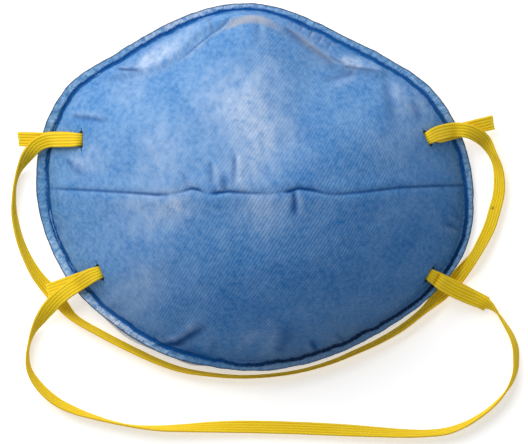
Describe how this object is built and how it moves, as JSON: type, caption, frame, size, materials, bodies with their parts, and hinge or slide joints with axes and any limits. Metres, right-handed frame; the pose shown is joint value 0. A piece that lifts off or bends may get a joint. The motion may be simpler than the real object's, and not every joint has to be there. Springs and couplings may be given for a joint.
{
  "type": "disposable respirator",
  "caption": "Moulded cup respirator with a nonwoven cover welded round the rim, a hidden nose clip and flat elastic head straps through slits.",
  "frame": {"origin": "on the surface that the cup rests on, under the middle of the cup's outline", "axes": "+Z out of the front of the cup, +Y towards the nose, +X across the cup to the right as seen from the front"},
  "size_m": [0.1635, 0.1397, 0.0477],
  "materials": {
    "cover_fabric": "matt blue bonded nonwoven with a fine slanting weave-like emboss and pale cloudy mottling",
    "shell_fabric": "white moulded nonwoven, matt and slightly fuzzy",
    "clip_metal": "bare soft aluminium strip",
    "strap_elastic": "bright yellow braided elastic with lengthwise ribs"
  },
  "bodies": {
    "root": {"outer_cover": "cover_fabric", "inner_shell": "shell_fabric", "nose_clip": "clip_metal", "upper_strap": "strap_elastic", "lower_strap": "strap_elastic"}
  },
  "joints": []
}
